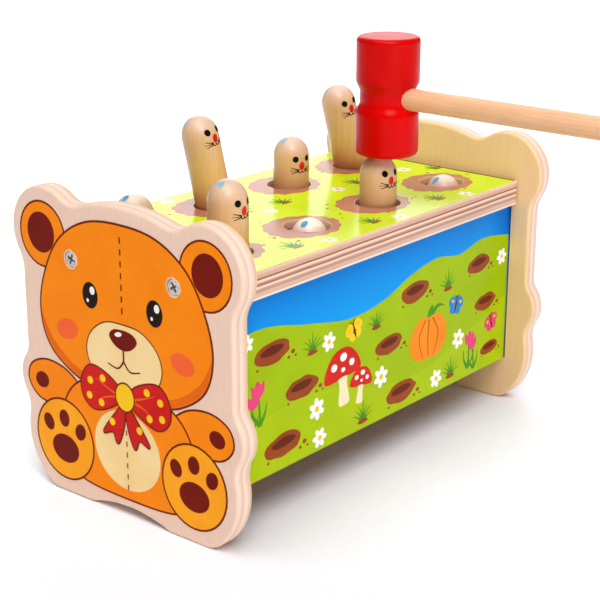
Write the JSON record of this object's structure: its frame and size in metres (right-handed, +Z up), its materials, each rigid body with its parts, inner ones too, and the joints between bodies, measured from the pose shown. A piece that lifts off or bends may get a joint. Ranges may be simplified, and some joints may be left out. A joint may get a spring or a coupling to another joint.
{
  "type": "wooden whack-a-mole toy",
  "caption": "Box-shaped wooden tapping toy: round-topped mole pegs stand over rockers in a printed bench between animal-shaped end boards, with a small hammer.",
  "frame": {"origin": "on the table, under the middle of the object's outline with the hammer standing on its mole", "axes": "+X along the toy from the bear-shaped end board to the plain one, +Y from the front long side to the rear one, +Z up"},
  "size_m": [0.224, 0.226, 0.191],
  "materials": {
    "board_ply": "lacquered pale plywood",
    "plate_print": "plywood with a lime green printed top",
    "panel_print": "thin board with a printed blue and green outer face",
    "screw_steel": "zinc-plated",
    "dowel_wood": "plain sanded dowel",
    "rocker_wood": "plain sanded wood",
    "mole_wood": "lacquered turned wood with painted dots",
    "red_paint": "turned wood in gloss red paint",
    "handle_wood": "lacquered dowel"
  },
  "bodies": {
    "box": {"bear_board": "board_ply", "rear_board": "board_ply", "top_plate": "plate_print", "front_panel": "panel_print", "rear_panel": "panel_print", "board_screws": "screw_steel", "rocker_axle": "dowel_wood", "axle_sleeves": "dowel_wood", "end_sleeves": "dowel_wood"},
    "rocker_1": {"rocker_1": "rocker_wood"},
    "mole_front_1": {"mole_front_1": "mole_wood", "stop_pin_front_1": "dowel_wood"},
    "mole_rear_1": {"mole_rear_1": "mole_wood", "stop_pin_rear_1": "dowel_wood"},
    "rocker_2": {"rocker_2": "rocker_wood"},
    "mole_front_2": {"mole_front_2": "mole_wood", "stop_pin_front_2": "dowel_wood"},
    "mole_rear_2": {"mole_rear_2": "mole_wood", "stop_pin_rear_2": "dowel_wood"},
    "rocker_3": {"rocker_3": "rocker_wood"},
    "mole_front_3": {"mole_front_3": "mole_wood", "stop_pin_front_3": "dowel_wood"},
    "mole_rear_3": {"mole_rear_3": "mole_wood", "stop_pin_rear_3": "dowel_wood"},
    "rocker_4": {"rocker_4": "rocker_wood"},
    "mole_front_4": {"mole_front_4": "mole_wood", "stop_pin_front_4": "dowel_wood"},
    "mole_rear_4": {"mole_rear_4": "mole_wood", "stop_pin_rear_4": "dowel_wood"},
    "hammer": {"hammer_head": "red_paint", "hammer_handle": "handle_wood"}
  },
  "joints": [
    {"name": "mole_front_1_slide", "type": "slide", "parent": "box", "child": "mole_front_1", "axis": [0, 0, 1], "range_m": [-0.027, 0.012]},
    {"name": "mole_rear_1_slide", "type": "slide", "parent": "box", "child": "mole_rear_1", "axis": [0, 0, 1], "range_m": [-0.012, 0.027]},
    {"name": "rocker_1_tilt", "type": "hinge", "parent": "box", "child": "rocker_1", "pos_m": [-0.0765, 0.047, 0.0682], "axis": [1, 0, 0], "range_deg": [-24.43, 54.96]},
    {"name": "mole_front_2_slide", "type": "slide", "parent": "box", "child": "mole_front_2", "axis": [0, -0.0523, 0.9986], "range_m": [0, 0.039]},
    {"name": "mole_rear_2_slide", "type": "slide", "parent": "box", "child": "mole_rear_2", "axis": [-0.1557, 0.0958, 0.9831], "range_m": [-0.039, 0]},
    {"name": "rocker_2_tilt", "type": "hinge", "parent": "box", "child": "rocker_2", "pos_m": [-0.0255, 0.047, 0.0682], "axis": [1, 0, 0], "range_deg": [-79.38, 0]},
    {"name": "mole_front_3_slide", "type": "slide", "parent": "box", "child": "mole_front_3", "axis": [0, 0, 1], "range_m": [-0.019, 0.02]},
    {"name": "mole_rear_3_slide", "type": "slide", "parent": "box", "child": "mole_rear_3", "axis": [0, 0, 1], "range_m": [-0.02, 0.019]},
    {"name": "rocker_3_tilt", "type": "hinge", "parent": "box", "child": "rocker_3", "pos_m": [0.0255, 0.047, 0.0682], "axis": [1, 0, 0], "range_deg": [-40.71, 38.68]},
    {"name": "mole_front_4_slide", "type": "slide", "parent": "box", "child": "mole_front_4", "axis": [0, -0.0523, 0.9986], "range_m": [0, 0.039]},
    {"name": "mole_rear_4_slide", "type": "slide", "parent": "box", "child": "mole_rear_4", "axis": [-0.207, 0.0958, 0.9736], "range_m": [-0.039, 0]},
    {"name": "rocker_4_tilt", "type": "hinge", "parent": "box", "child": "rocker_4", "pos_m": [0.0765, 0.047, 0.0682], "axis": [1, 0, 0], "range_deg": [-79.38, 0]},
    {"name": "hammer_lift", "type": "slide", "parent": "mole_front_3", "child": "hammer", "axis": [0, 0, 1], "range_m": [0, 0.12]}
  ],
  "couplings": [
    {"joint": "mole_rear_1_slide", "follows": "mole_front_1_slide", "ratio": -1},
    {"joint": "rocker_1_tilt", "follows": "mole_front_1_slide", "rad_per_m": -35.519},
    {"joint": "mole_rear_2_slide", "follows": "mole_front_2_slide", "ratio": -1},
    {"joint": "rocker_2_tilt", "follows": "mole_front_2_slide", "rad_per_m": -35.519},
    {"joint": "mole_rear_3_slide", "follows": "mole_front_3_slide", "ratio": -1},
    {"joint": "rocker_3_tilt", "follows": "mole_front_3_slide", "rad_per_m": -35.519},
    {"joint": "mole_rear_4_slide", "follows": "mole_front_4_slide", "ratio": -1},
    {"joint": "rocker_4_tilt", "follows": "mole_front_4_slide", "rad_per_m": -35.519}
  ]
}
